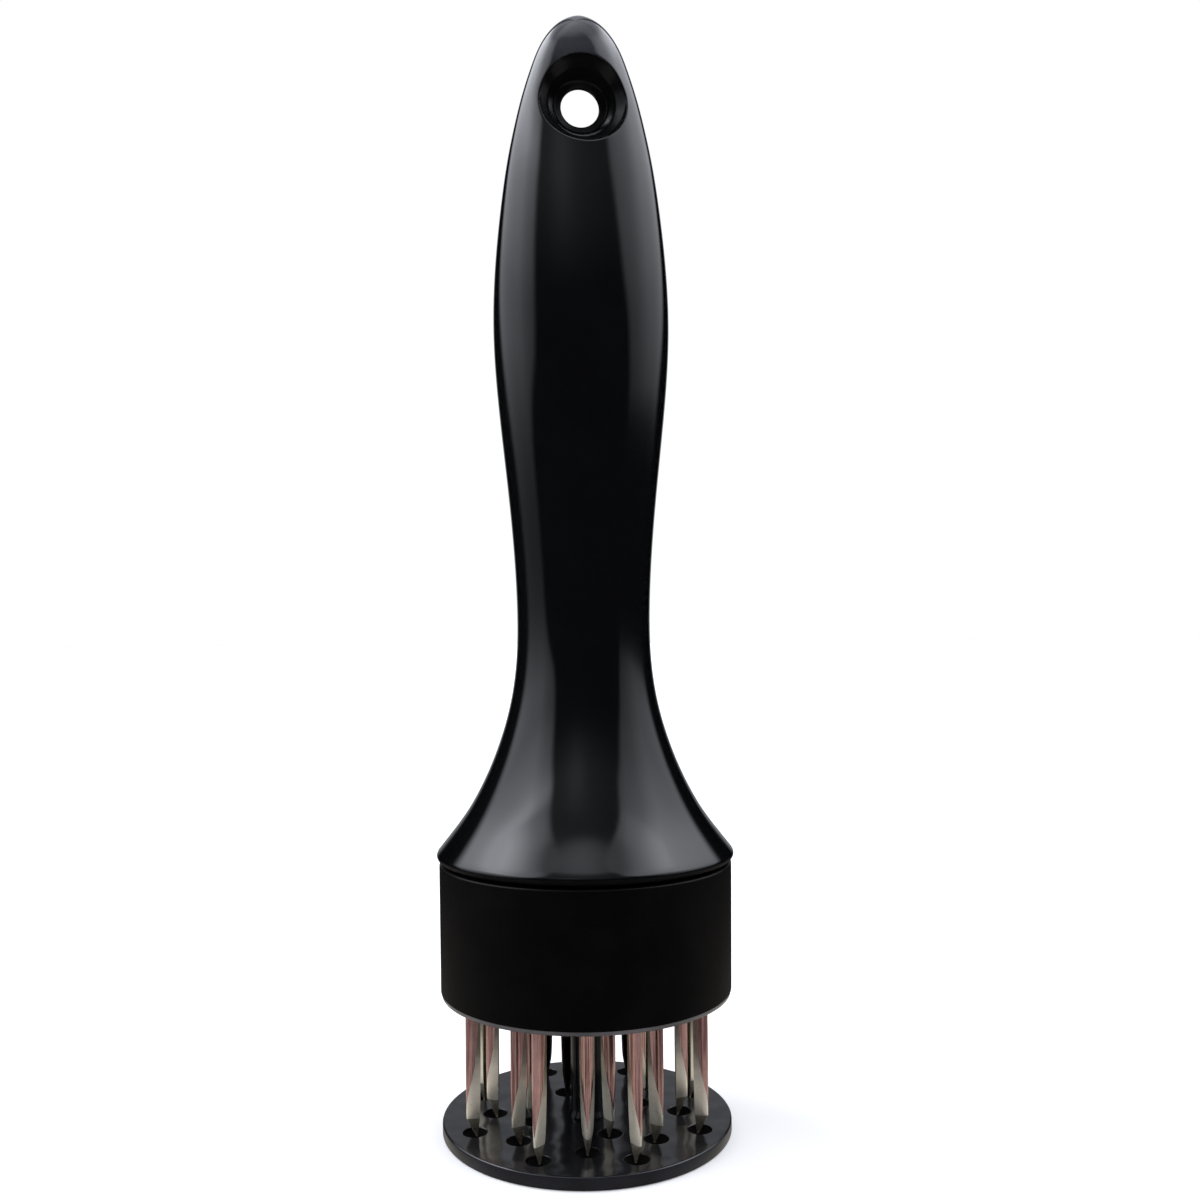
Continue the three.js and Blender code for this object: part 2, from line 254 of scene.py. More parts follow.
HANDLE = gloss_black(
    "handle_gloss", (0.0022, 0.0023, 0.0026), 0.08, painted_sheen_tip=((0.030, 0.030, 0.036), 187.5, 193.5)
)
COLLAR = satin_black("collar_black", (0.0015, 0.0012, 0.0013), 0.55, 0.05)
COLLAR_EDGE = gloss_black("collar_edge_gloss", (0.003, 0.0028, 0.0028), 0.34, specular=0.13)
# the lower rim's light grey is a painted highlight along the collar's bottom edge
COLLAR_RIM_HIGHLIGHT = satin_black("collar_rim_painted_highlight", (0.055, 0.050, 0.050), 0.3, 0.6, grain=0.08)
HEAD = satin_black("head_black", (0.006, 0.006, 0.0065), 0.45, 0.3)
HANDLE_FOOT = satin_black("handle_foot", (0.002, 0.002, 0.0022), 0.6, 0.08)
# painted shade inside the hanging hole's recess: darker and less glossy than the handle
HANDLE_EYE_SHADE = gloss_black("handle_eye_painted_shade", (0.0018, 0.0018, 0.002), 0.24, specular=0.14)
PLATE = gloss_black("guard_gloss", (0.0085, 0.0085, 0.0100), 0.17, wave=0.6, grain=0.06, wave_mm=0.6)
PLATE_BORE = satin_black("guard_bore", (0.002, 0.002, 0.002), 0.6, 0.12)
PLATE_RIM = satin_black("guard_rim", (0.0105, 0.0105, 0.0135), 0.34, 0.2, grain=0.1)
POST = gloss_black("post_gloss", (0.003, 0.003, 0.0032), 0.2, grain=0.03, specular=0.25)
BLADE_FACE = steel(
    "blade_face", (0.40, 0.225, 0.20), (0.56, 0.36, 0.33), 0.15, (2.4, 2.4, 0.10), metallic=0.95, streaks=0.4
)
BLADE_BEVEL = steel(
    "blade_bevel",
    (0.86, 0.79, 0.63),
    (0.98, 0.93, 0.79),
    0.33,
    (0.35, 0.35, 2.2),
    0.012,
    metallic=0.74,
    upper=((0.19, 0.165, 0.125), 8.5, 18.0),
)
# painted reflection: the tips' olive-grey tone, part matte, stands in for what they reflect of the dark plate and the
# light around
BLADE_TIP_REFLECTION = steel(
    "blade_tip", (0.30, 0.27, 0.20), (0.44, 0.40, 0.31), 0.3, (0.35, 0.35, 2.2), 0.08, metallic=0.75
)
BLADE_BACK = steel("blade_back", (0.30, 0.275, 0.24), (0.46, 0.43, 0.38), 0.28, (2.4, 2.4, 0.10))
SCREW = steel("screw_steel", (0.52, 0.52, 0.52), (0.72, 0.72, 0.71), 0.3, (1.2, 1.2, 1.2), 0.08)
SPRING = steel("spring_steel", (0.42, 0.42, 0.41), (0.6, 0.6, 0.58), 0.3, (0.6, 0.6, 3.0), 0.1)

# ---------------------------------------------------------------- mesh helpers


class Build:
    """Collects vertices and faces of one closed mesh."""

    def __init__(self):
        self.points = []
        self.faces = []
        self.marks = []

    def loop(self, points):
        start = len(self.points)
        self.points.extend([tuple(map(float, p)) for p in points])
        return list(range(start, start + len(points)))

    def face(self, ids, mark=0):
        self.faces.append(tuple(ids))
        self.marks.append(mark)

    def strip(self, a, b, mark=0, turned=False):
        """Quads between two closed loops with the same number of vertices."""
        n = len(a)
        for i in range(n):
            j = (i + 1) % n
            ids = (a[i], a[j], b[j], b[i])
            self.face(ids[::-1] if turned else ids, mark)

    def fan(self, loop, tip, mark=0, turned=False):
        n = len(loop)
        for i in range(n):
            ids = (loop[i], loop[(i + 1) % n], tip)
            self.face(ids[::-1] if turned else ids, mark)

    def cap(self, outer, holes=(), mark=0, down=False):
        """A flat face, level in Z, inside outer and outside the holes."""
        ids = list(outer)
        edges = [(i, (i + 1) % len(outer)) for i in range(len(outer))]
        for h in holes:
            s = len(ids)
            ids += list(h)
            edges += [(s + i, s + (i + 1) % len(h)) for i in range(len(h))]
        flat = [Vector(self.points[i][:2]) for i in ids]
        made = delaunay_2d_cdt(flat, edges, [], 0, 1e-6)
        verts, tris, origin = made[0], made[2], made[3]
        back = [ids[o[0]] for o in origin]

        def inside(p, loop):
            xy = np.array([self.points[i][:2] for i in loop])
            x0, y0 = xy[:, 0], xy[:, 1]
            x1, y1 = np.roll(x0, -1), np.roll(y0, -1)
            hit = ((y0 > p[1]) != (y1 > p[1])) & (
                p[0] < (x1 - x0) * (p[1] - y0) / np.where(y1 == y0, 1e-12, y1 - y0) + x0
            )
            return hit.sum() % 2 == 1

        for t in tris:
            c = sum((Vector(verts[i]) for i in t), Vector((0, 0))) / len(t)
            if not inside(c, outer) or any(inside(c, h) for h in holes):
                continue
            f = [back[i] for i in t]
            p = [Vector(self.points[i]) for i in f[:3]]
            up = (p[1] - p[0]).cross(p[2] - p[0]).z > 0
            self.face(f[::-1] if up == down else f, mark)

    def place(self, name, materials, body, slot, stands_for=(), sharp=32.0, turn=None):
        """Makes the object, in metres, riding on its body."""
        pts = np.array(self.points) * MM
        me = bpy.data.meshes.new(name)
        me.from_pydata(pts.tolist(), [], self.faces)
        for m in materials:
            me.materials.append(m)
        me.polygons.foreach_set("material_index", self.marks)
        if turn is not None:
            me.transform(turn)
        me.update()
        me.shade_smooth()
        me.set_sharp_from_angle(angle=math.radians(sharp))
        ob = bpy.data.objects.new(name, me)
        COLLECTION.objects.link(ob)
        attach(ob, body)
        if stands_for:
            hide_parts(*stands_for)
        return ob


def circle(r, z, n, cx=0.0, cy=0.0, phase=0.0):
    a = np.arange(n) * 2 * math.pi / n + phase
    return np.stack([cx + r * np.cos(a), cy + r * np.sin(a), np.full(n, z)], 1)


def rounded(points, closed=False, steps=5):
    """Points (r, z[, fillet]) with each fillet made of short straight pieces."""
    out = []
    n = len(points)
    for i, p in enumerate(points):
        f = p[2] if len(p) > 2 else 0.0
        c = np.array(p[:2], float)
        if f <= 0 or (not closed and i in (0, n - 1)):
            out.append(c)
            continue
        a = np.array(points[i - 1][:2], float)
        b = np.array(points[(i + 1) % n][:2], float)
        u = (a - c) / np.linalg.norm(a - c)
        v = (b - c) / np.linalg.norm(b - c)
        angle = math.acos(float(np.clip(u @ v, -1, 1)))
        reach = f / math.tan(angle / 2)
        centre = c + (u + v) / np.linalg.norm(u + v) * f / math.sin(angle / 2)
        e0, e1 = c + u * reach - centre, c + v * reach - centre
        total = math.acos(float(np.clip(e0 @ e1 / f**2, -1, 1)))
        for k in range(steps + 1):
            s = k / steps
            w = (math.sin((1 - s) * total) * e0 + math.sin(s * total) * e1) / math.sin(total)
            out.append(centre + w)
    return out


def lathe(build, profile, n, marks=None, closed=False):
    """Turns (r, z) points about Z. The profile runs with the outside on its right when z rises."""
    rows = []
    for r, z in profile:
        if r < 1e-9:
            rows.append(build.loop([(0, 0, z)]) * 1)
        else:
            rows.append(build.loop(circle(r, z, n)))
    pairs = list(zip(rows[:-1], rows[1:]))
    if closed:
        pairs.append((rows[-1], rows[0]))
    for i, (a, b) in enumerate(pairs):
        mark = marks[i] if marks else 0
        if len(a) == 1:
            build.fan(b, a[0], mark, turned=True)
        elif len(b) == 1:
            build.fan(a, b[0], mark)
        else:
            build.strip(a, b, mark)


def helix(build, section, turns, z0, pitch, per_turn, mark=0, taper=0.0, root=0.0):
    """A closed ridge swept up a helix. section is (radius, height) pairs. It grows out of root at both ends."""
    steps = int(round(turns * per_turn))
    loops = []
    for k in range(steps + 1):
        t = k / per_turn
        a = t * 2 * math.pi
        grow = 1.0
        if taper:
            grow = min(1.0, t / taper, (turns - t) / taper)
            grow = max(0.02, grow)
        pts = []
        for r, h in section:
            rr = root + (r - root) * grow if root else r
            pts.append((rr * math.cos(a), rr * math.sin(a), z0 + pitch * t + h * (grow if root else 1)))
        loops.append(build.loop(pts))
    for a, b in zip(loops[:-1], loops[1:]):
        build.strip(a, b, mark)
    build.face(loops[0][::-1], mark)
    build.face(loops[-1], mark)


# ---------------------------------------------------------------- handle
# Half width at each height, from the bell's slope to the middle of the tip.
OUTLINE = [
    (50.8, 25.0),
    (53, 23.25),
    (56, 21.05),
    (60, 18.75),
    (64, 16.85),
    (68, 15.3),
    (73, 13.75),
    (79, 12.55),
    (86, 11.95),
    (94, 12.0),
    (106, 12.75),
    (118, 13.95),
    (130, 15.2),
    (142, 15.9),
    (154, 15.5),
    (164, 14.5),
    (173, 13.2),
    (180, 11.75),
    (186, 10.2),
    (190, 8.9),
    (193.6, 7.55),
    (196.4, 5.9),
    (198.4, 3.95),
    (199.5, 2.0),
    (200, 0.0),
]
FLATNESS = [
    (47, 1),
    (60, 1),
    (75, 0.98),
    (95, 0.92),
    (145, 0.76),
    (165, 0.68),
    (180, 0.6),
    (190, 0.58),
    (200, 0.58),
]
EYE_Z = 183.0
EYE = [(3.5, 0.0), (3.5, 0.4), (4.9, 0.9), (6.15, 3.0), (7.8, 4.4), (10.41, 12.7)]
EYE_OUT = 9.65  # radius where the dish's mesh meets the handle's


def cubic(t, y):
    """Natural cubic spline through the points, as a function."""
    n = len(t)
    h = np.diff(t)
    a = np.zeros((n, n))
    b = np.zeros(n)
    a[0, 0] = a[-1, -1] = 1
    for i in range(1, n - 1):
        a[i, i - 1], a[i, i], a[i, i + 1] = h[i - 1], 2 * (h[i - 1] + h[i]), h[i]
        b[i] = 6 * ((y[i + 1] - y[i]) / h[i] - (y[i] - y[i - 1]) / h[i - 1])
    m = np.linalg.solve(a, b)

    def at(x):
        i = np.clip(np.searchsorted(t, x) - 1, 0, n - 2)
        d, e = t[i + 1] - x, x - t[i]
        return (
            (m[i] * d**3 + m[i + 1] * e**3) / (6 * h[i])
            + (y[i] / h[i] - m[i] * h[i] / 6) * d
            + (y[i + 1] / h[i] - m[i + 1] * h[i] / 6) * e
        )

    return at


def soften(values, sigma, pitch):
    """Gaussian smoothing of evenly spaced values, with the ends continued as straight lines."""
    half = int(4 * sigma / pitch)
    k = np.exp(-0.5 * (np.arange(-half, half + 1) * pitch / sigma) ** 2)
    k /= k.sum()
    left = 2 * values[0] - values[1 : half + 1][::-1]
    right = 2 * values[-1] - values[-half - 1 : -1][::-1]
    return np.convolve(np.concatenate([left, values, right]), k, "valid")


def handle_curve():
    """The outer curve as (r, z) at 0.1 mm steps, from the bell's slope to the tip."""
    up = np.array(OUTLINE, float)
    back = up[-6:-1][::-1] * np.array([1, -1])
    pts = np.concatenate([up, back])
    t = np.concatenate([[0], np.cumsum(np.hypot(*np.diff(pts, axis=0).T))])
    z, r = cubic(t, pts[:, 0]), cubic(t, pts[:, 1])
    end = t[len(up) - 1]
    fine = np.arange(0, t[-1], 0.1)
    zz, rr = soften(z(fine), 1.6, 0.1), soften(r(fine), 1.6, 0.1)
    # the tip keeps its own shape: the smoothing fades out over the last millimetres
    keep = np.clip((end - fine) / 9.0, 0, 1)
    keep = keep * keep * (3 - 2 * keep)
    zz = keep * zz + (1 - keep) * z(fine)
    rr = keep * rr + (1 - keep) * r(fine)
    use = fine < end - 0.35
    zz, rr = zz[use], rr[use]
    zz = np.minimum(zz, 199.99)
    return rr, zz


CURVE_R, CURVE_Z = handle_curve()
FLAT_Z = np.arange(30, 231, 0.5)
FLAT_K = soften(np.interp(FLAT_Z, *np.array(FLATNESS).T), 5.0, 0.5)


def half_width(z):
    return np.interp(z, CURVE_Z, CURVE_R)


def flat(z):
    return np.interp(z, FLAT_Z, FLAT_K)


def skin(x, z):
    """Distance of the handle's front from its middle plane."""
    return flat(z) * np.sqrt(np.maximum(half_width(z) ** 2 - x**2, 1e-6))


def make_handle():
    b = Build()
    n = 160
    quarter = 30  # columns each side of the middle that the eye's patch takes
    angle = np.arange(n) * 2 * math.pi / n  # 0 faces -Y

    def row(r, z, k=1.0):
        return np.stack([r * np.sin(angle), -k * r * np.cos(angle), np.full(n, z)], 1)

    # inside of the bore, spigot and rim, then the outer curve
    low = [(0, 165.0), (4.4, 163.0), (6.4, 158.0), (8.9, 92.0), (9.8, 79.0), (12.3, 68.0)]
    low += [(15.5, 60.0), (19.7, 53.0), (21.6, 48.5), (21.6, 40.0)]
    low += [tuple(p) for p in rounded([(21.6, 35), (21.6, 31.1, 0.25), (23.6, 31.1, 0.45), (23.6, 40)], steps=3)[1:-1]]
    low += [(23.6, 36.0), (23.6, 42.0)]
    low += [tuple(p) for p in rounded([(23.6, 40), (23.6, 47.82, 0.3), (25.5, 47.82)], steps=3)[1:-1]]
    low += [(24.7, 47.82)]
    for deg in np.linspace(-90, 38.5, 12):
        a = math.radians(deg)
        low.append((25.5 + 0.9 * math.cos(a), 48.72 + 0.9 * math.sin(a)))
    low += [(25.62, 50.02)]
    pole_in = b.loop([(0, 0, 165.0)])
    rows = []
    for r, z in low[1:]:
        rows.append(b.loop(row(r, z)))
    b.fan(rows[0], pole_in[0], turned=True)
    for (_, z), a_, b_ in zip(low[1:], rows[:-1], rows[1:]):
        b.strip(a_, b_, 1 if z < 48.7 else 0)

    # outer rows at even steps along the curve
    s = np.concatenate([[0], np.cumsum(np.hypot(np.diff(CURVE_R), np.diff(CURVE_Z)))])
    stops = np.concatenate([np.arange(0, s[-1] - 8, 0.6), np.arange(s[-1] - 8, s[-1], 0.35)])
    zs, rs = np.interp(stops, s, CURVE_Z), np.interp(stops, s, CURVE_R)
    first = int(np.searchsorted(zs, 171.6))
    last = int(np.searchsorted(zs, 193.9))
    inner = {}
    made = []
    for i, (r, z) in enumerate(zip(rs, zs)):
        pts = row(r, z, flat(z))
        if first < i < last:
            ids = [None] * n
            for j in range(n):
                front = min(j, n - j) < quarter
                behind = abs(j - n // 2) < quarter
                if not (front or behind):
                    ids[j] = b.loop([pts[j]])[0]
            made.append(ids)
        else:
            made.append(b.loop(pts))
    b.strip(rows[-1], made[0])
    for i in range(len(made) - 1):
        a_, b_ = made[i], made[i + 1]
        for j in range(n):
            k = (j + 1) % n
            ids = (a_[j], a_[k], b_[k], b_[j])
            if None not in ids and not (
                first <= i < last
                and (
                    (min(j, n - j) <= quarter and min(k, n - k) <= quarter)
                    or (abs(j - n // 2) <= quarter and abs(k - n // 2) <= quarter)
                )
            ):
                b.face(ids)
    tip = b.loop([(0, 0, 200.0)])
    b.fan(made[-1], tip[0])

    # the eye: rings from the patch's edge to a circle, then down the dish to the middle plane
    def edge(centre):
        cols = [(centre + d) % n for d in range(-quarter, quarter + 1)]
        ids = [made[first][c] for c in cols]
        ids += [made[i][cols[-1]] for i in range(first + 1, last)]
        ids += [made[last][c] for c in cols[::-1]]
        ids += [made[i][cols[0]] for i in range(last - 1, first, -1)]
        return ids

    start = edge(0)
    p0 = np.array([b.points[i] for i in start])
    x0, z0 = p0[:, 0], p0[:, 2]
    theta = np.unwrap(np.arctan2(z0 - EYE_Z, x0))
    x1, z1 = EYE_OUT * np.cos(theta), EYE_Z + EYE_OUT * np.sin(theta)
    rings = []
    for t in np.linspace(0, 1, 12)[1:]:
        x, z = x0 + (x1 - x0) * t, z0 + (z1 - z0) * t
        rings.append(np.stack([x, -skin(x, z), z], 1))
    profiles = []
    pitch = 0.02
    for a in theta:
        rho = np.arange(14.0, 3.0, -0.01)
        x, z = rho * math.cos(a), EYE_Z + rho * math.sin(a)
        body = skin(x, np.minimum(z, 199.5))
        dish = np.interp(rho, [e[0] for e in EYE[1:]], [e[1] for e in EYE[1:]], left=-1)
        dish = np.where(rho > EYE[-1][0], 99, dish)
        cut = int(np.argmax((dish < body) & (rho < EYE_OUT)))
        line = [(rho[i], body[i]) for i in range(cut)]
        edge_rho = rho[cut]
        line.append((edge_rho, min(body[cut], dish[cut])))
        line += [(r, h) for r, h in EYE[::-1] if r < edge_rho - 0.02 and h < line[-1][1] - 0.02]
        line += [(r, -h) for r, h in EYE[1:] if h < 5]
        line = np.array(line)
        d = np.concatenate([[0], np.cumsum(np.hypot(*np.diff(line, axis=0).T))])
        even = np.arange(0, d[-1], pitch)
        lr, lh = np.interp(even, d, line[:, 0]), np.interp(even, d, line[:, 1])
        sr, sh = soften(lr, 0.22, pitch), soften(lh, 0.22, pitch)
        use = (sr < EYE_OUT) & (sh > 0)
        sr, sh = sr[use], sh[use]
        tight = np.hypot(np.gradient(np.gradient(sr)), np.gradient(np.gradient(sh)))
        weight = 1 + 5 * np.clip(soften(tight, 0.1, pitch) / 2e-4, 0, 1)
        w = np.cumsum(weight)
        pick = np.interp(np.linspace(w[0], w[-1], 52), w, np.arange(len(w)))
        pr, ph = np.interp(pick, np.arange(len(sr)), sr), np.interp(pick, np.arange(len(sh)), sh)
        ph[-1] = 0.0
        profiles.append(np.stack([pr, ph], 1))
    profiles = np.array(profiles)  # vertex, ring, (radius, height)
    for k in range(1, profiles.shape[1]):
        rho, h = profiles[:, k, 0], profiles[:, k, 1]
        rings.append(np.stack([rho * np.cos(theta), -h, EYE_Z + rho * np.sin(theta)], 1))
    middle = None
    previous = start
    depth = [np.abs(ring[:, 1]) < skin(ring[:, 0], np.minimum(ring[:, 2], 199.5)) - 0.1 for ring in rings]

    def eye_strip(p, q, k, turned):
        # painted shade: the inside of the recess has a darker, duller finish than the handle's
        for i in range(len(p)):
            j = (i + 1) % len(p)
            ids = (p[i], p[j], q[j], q[i])
            b.face(ids[::-1] if turned else ids, 2 if depth[k][i] and depth[k][j] else 0)

    for k, ring in enumerate(rings):
        ids = b.loop(ring)
        eye_strip(previous, ids, k, False)
        previous = ids
    middle = previous
    # the same at the back, its edge walked in the front's order
    cols = [(n // 2 - d) % n for d in range(-quarter, quarter + 1)]
    previous = [made[first][c] for c in cols]
    previous += [made[i][cols[-1]] for i in range(first + 1, last)]
    previous += [made[last][c] for c in cols[::-1]]
    previous += [made[i][cols[0]] for i in range(last - 1, first, -1)]
    for k, ring in enumerate(rings):
        ids = middle if k == len(rings) - 1 else b.loop(ring * np.array([1, -1, 1]))
        eye_strip(previous, ids, k, True)
        previous = ids
    used = sorted({i for f in b.faces for i in f})
    back = {old: new for new, old in enumerate(used)}
    b.points = [b.points[i] for i in used]
    b.faces = [tuple(back[i] for i in f) for f in b.faces]
    b.place("handle", [HANDLE, HANDLE_FOOT, HANDLE_EYE_SHADE], "handle", "handle_gloss", ["handle_shell"], sharp=40)

    t = Build()
    section = [(23.2, -0.95), (24.35, -0.45), (24.35, 0.45), (23.2, 0.95)]
    helix(t, section, 1.9, 34.9, 3.2, 96, taper=0.06, root=23.2)
    t.place("handle_thread", [HANDLE], "handle", "handle_gloss", ["handle_shell"])


make_handle()

# ---------------------------------------------------------------- collar


def make_collar():
    b = Build()
    corner = [
        (23.5, 24.15, 0.12),
        (25.62, 24.15, 0.3),  # the rim at the lower edge, a little inside the wall, whose light grey is a painted highlight
        (25.64, 24.86, 0),
        (25.8, 24.98, 0.08),
        (26.0, 47.3, 0.42),
        (24.7, 47.3, 0.25),
        (24.7, 25.6, 0.1),
        (23.5, 25.6, 0.1),
    ]
    prof = rounded(corner, closed=True, steps=6)
    marks = []
    for p, q in zip(prof, prof[1:] + prof[:1]):
        r, z = (p[0] + q[0]) / 2, (p[1] + q[1]) / 2
        marks.append(1 if z > 46.95 else 2 if z < 24.87 and r > 24.9 else 0)
    lathe(b, [tuple(p) for p in prof], 192, marks, closed=True)
    b.place("collar", [COLLAR, COLLAR_EDGE, COLLAR_RIM_HIGHLIGHT], "collar", "collar_black", ["threaded_collar"])
    t = Build()
    section = [(25.1, -0.85), (25.1, 0.85), (24.0, 0.45), (24.0, -0.45)]
    helix(t, section, 1.5, 36.5, 3.2, 96)
    t.place("collar_thread", [COLLAR], "collar", "collar_black", ["threaded_collar"])


make_collar()

# ---------------------------------------------------------------- guard plate, post and screw
RINGS = [
    ("outer", 20.9, 22.5, 45, 8),
    ("middle", 16.4, 0, 45, 8),
    ("inner", 10.0, 22.5, 90, 4),
]
PLACES = [
    (f"blade_{ring}_{i + 1}", r, CLOCK + math.radians(first + step * i))
    for ring, r, first, step, count in RINGS
    for i in range(count)
]


def drilled_disc(build, outer, holes, sink, z0, z1, rim, lip, apron, n, bore=0, side=0):
    """A disc with through holes. rim and lip are the fillets of its edge and of the holes, and apron
    is the flat band beside each fillet. sink is the profile (r, z) of the hole in the centre, and
    bore and side are the material numbers of the holes' walls and of the edge."""
    turn = np.linspace(0, math.pi / 2, 6)
    prof = [(outer - rim - apron, z0)]
    prof += [(outer - rim + rim * math.sin(t), z0 + rim - rim * math.cos(t)) for t in turn]
    prof += [(outer - rim + rim * math.cos(t), z1 - rim + rim * math.sin(t)) for t in turn]
    prof.append((outer - rim - apron, z1))
    edge = [build.loop(circle(r, z, n)) for r, z in prof]
    for k, (p, q) in enumerate(zip(edge[:-1], edge[1:])):
        build.strip(p, q, side if k < 9 else 0)
    rise = [(lip + apron, z0)]
    rise += [(lip - lip * math.sin(t), z0 + lip - lip * math.cos(t)) for t in turn]
    rise += [(lip - lip * math.cos(t), z1 - lip + lip * math.sin(t)) for t in turn]
    rise.append((lip + apron, z1))
    walls = [[shape(grow, z) for grow, z in rise] for shape in holes]
    walls.append([circle(r, z, 64) for r, z in sink])
    lows, highs = [], []
    for wall in walls:
        loops = [build.loop(pts) for pts in wall]
        for k, (p, q) in enumerate(zip(loops[:-1], loops[1:])):
            build.strip(p, q, bore if k < len(loops) - 5 else 0, turned=True)
        lows.append(loops[0])
        highs.append(loops[-1])
    build.cap(edge[0], lows, down=True)
    build.cap(edge[-1], highs)


def round_hole(cx, cy, r, n=48):
    return lambda grow, z: circle(r + grow, z, n, cx, cy)


def make_plate():
    b = Build()
    holes = [round_hole(r * math.cos(a), r * math.sin(a), 2.1) for _, r, a in PLACES]
    sink = [(3.3, 0.0), (3.15, 0.0), (3.1, 0.05), (3.1, 0.25), (1.6, 1.75), (1.6, 2.2)]
    drilled_disc(b, 25.6, holes, sink, 0.0, 2.2, 0.32, 0.16, 0.14, 224, bore=1, side=2)
    b.place("guard_disc", [PLATE, PLATE_BORE, PLATE_RIM], "plunger", "guard_gloss", ["guard_plate"])


make_plate()


def make_post():
    b = Build()
    prof = rounded(
        [
            (1.6, 2.2, 0),
            (3.35, 2.2, 0),
            (2.9, 3.2, 0.9),
            (2.9, 29.0, 0),
            (4.7, 29.0, 0.2),
            (4.7, 31.4, 0.3),
            (3.1, 31.4, 0.2),
            (2.8, 36.0, 0.3),
            (2.2, 36.6, 0.2),
            (0, 36.6, 0),
        ],
        steps=4,
    )
    prof = [tuple(p) for p in prof] + []
    inner = [(0, 13.5), (1.6, 12.5)]
    lathe(b, inner + prof, 72)
    b.place("guard_post", [POST], "plunger", "guard_gloss", ["guide_post"])


def cross(size, width, z):
    """Outline of a cross recess, walked counter-clockwise."""
    s, w = size / 2, width / 2
    pts = [(s, -w), (s, w), (w, w), (w, s), (-w, s), (-w, w), (-s, w), (-s, -w), (-w, -w), (-w, -s), (w, -s), (w, -w)]
    return [(x, y, z) for x, y in pts]


def make_screw():
    b = Build()
    n = 64
    prof = [(2.62, 0.15), (2.72, 0.17), (2.8, 0.3), (2.74, 0.42), (1.34, 1.62), (1.3, 1.75), (1.3, 11.4)]
    loops = [b.loop(circle(r, z, n)) for r, z in prof]
    for p, q in zip(loops[:-1], loops[1:]):
        b.strip(p, q)
    b.fan(loops[-1], b.loop([(0, 0, 12.2)])[0])
    mouth = b.loop(cross(3.0, 0.66, 0.15))
    floor = b.loop(cross(2.5, 0.5, 0.85))
    b.strip(mouth, floor, turned=True)
    b.cap(loops[0], [mouth], down=True)
    b.cap(floor, down=True)
    b.place("centre_screw", [SCREW], "plunger", "screw_steel", ["plate_screw"])


make_post()
make_screw()

# ---------------------------------------------------------------- blade holder


def make_holder():
    b = Build()
    holes = []

    def slot_hole(r, a):
        def shape(grow, z):
            hx, hy = 1.475 + min(grow, 0.3), 1.6 + min(grow, 0.3)
            f = 0.35
            pts = []
            for cx, cy, start in (
                (hx - f, hy - f, 0),
                (-hx + f, hy - f, 90),
                (-hx + f, -hy + f, 180),
                (hx - f, -hy + f, 270),
            ):
                for d in np.linspace(start, start + 90, 6):
                    t = math.radians(d)
                    pts.append((cx + f * math.cos(t), cy + f * math.sin(t)))
            out = []
            for x, y in pts:
                x += r + 0.425
                out.append((x * math.cos(a) - y * math.sin(a), x * math.sin(a) + y * math.cos(a), z))
            return np.array(out)

        return shape

    for _, r, a in PLACES:
        holes.append(slot_hole(r, a))
    sink = [(3.4, 24.3), (3.28, 24.32), (3.2, 24.4), (3.2, 28.5)]
    drilled_disc(b, 23.2, holes, sink, 24.3, 28.5, 0.12, 0.05, 0.02, 160)
    ring = rounded(
        [(23.05, 25.9, 0), (24.4, 25.9, 0.15), (24.4, 28.45, 0.15), (23.05, 28.45, 0)],
        closed=True,
        steps=3,
    )
    lathe(b, [tuple(p) for p in ring], 160, closed=True)
    b.place("holder_disc", [HEAD], "blade_cartridge", "head_black", ["blade_holder"])


make_holder()

# ---------------------------------------------------------------- blades
# A strip bent to a deep arch, crown outwards. Height, crown, half width, free edges, and the share
# of the half width that the face keeps between the two ground bevels.
BLADE = [
    (1.5, -0.2, 0.18, -0.45, 0.03),
    (3.5, 0.85, 0.57, -0.54, 0.03),
    (4.8, 1.5, 0.84, -0.60, 0.03),
    (5.4, 1.51, 0.94, -0.60, 0.03),
    (6.4, 1.52, 1.02, -0.61, 0.03),
    (7.2, 1.53, 1.05, -0.61, 0.13),
    (8.2, 1.54, 1.09, -0.62, 0.28),
    (9.4, 1.56, 1.13, -0.63, 0.44),
    (11.5, 1.58, 1.20, -0.64, 0.65),
    (13.8, 1.6, 1.25, -0.65, 0.78),
    (17.0, 1.6, 1.27, -0.65, 0.86),
    (20.0, 1.6, 1.28, -0.65, 0.90),
    (24.0, 1.6, 1.29, -0.65, 0.93),
    (28.3, 1.6, 1.30, -0.65, 0.945),
]
BLADE_ROWS = [1.5, 1.8, 2.3, 2.9, 3.5, 4.1, 4.6, 4.8, 5.1, 5.4, 5.9, 6.4, 7.2, 8.2, 8.8, 9.4, 10.1, 10.8, 11.5, 12.3, 13, 13.8]
BLADE_ROWS += [15.4, 17, 18.5, 20, 22, 24, 26, 28.3]
FACE_STEPS, BEVEL_STEPS, BACK_STEPS = 5, 5, 5
ARCH = 2.2


def blade_section(z):
    crown, w, edge, share = (np.interp(z, [s[0] for s in BLADE], [s[k] for s in BLADE]) for k in (1, 2, 3, 4))
    thick = min(0.34, 0.42 * w)

    def arch(u, top, half):
        return (top - (top - edge) * abs(u) ** ARCH, half * u)

    face = [arch(share * k / FACE_STEPS, crown, w) for k in range(FACE_STEPS)]
    bevel = [arch(share + (1 - share) * k / BEVEL_STEPS, crown, w) for k in range(BEVEL_STEPS + 1)]
    # the bevel is ground a little below the arch beside the face, which leaves a fine line there
    bevel = [(x - 0.02 * math.sin(math.pi * k / BEVEL_STEPS), y) for k, (x, y) in enumerate(bevel)]
    back = [arch(1 - k / BACK_STEPS, crown - thick, w - 1.03 * thick) for k in range(BACK_STEPS)]
    half = face + bevel + back
    return half + [(crown - thick, 0)] + [(x, -y) for x, y in half[:0:-1]]


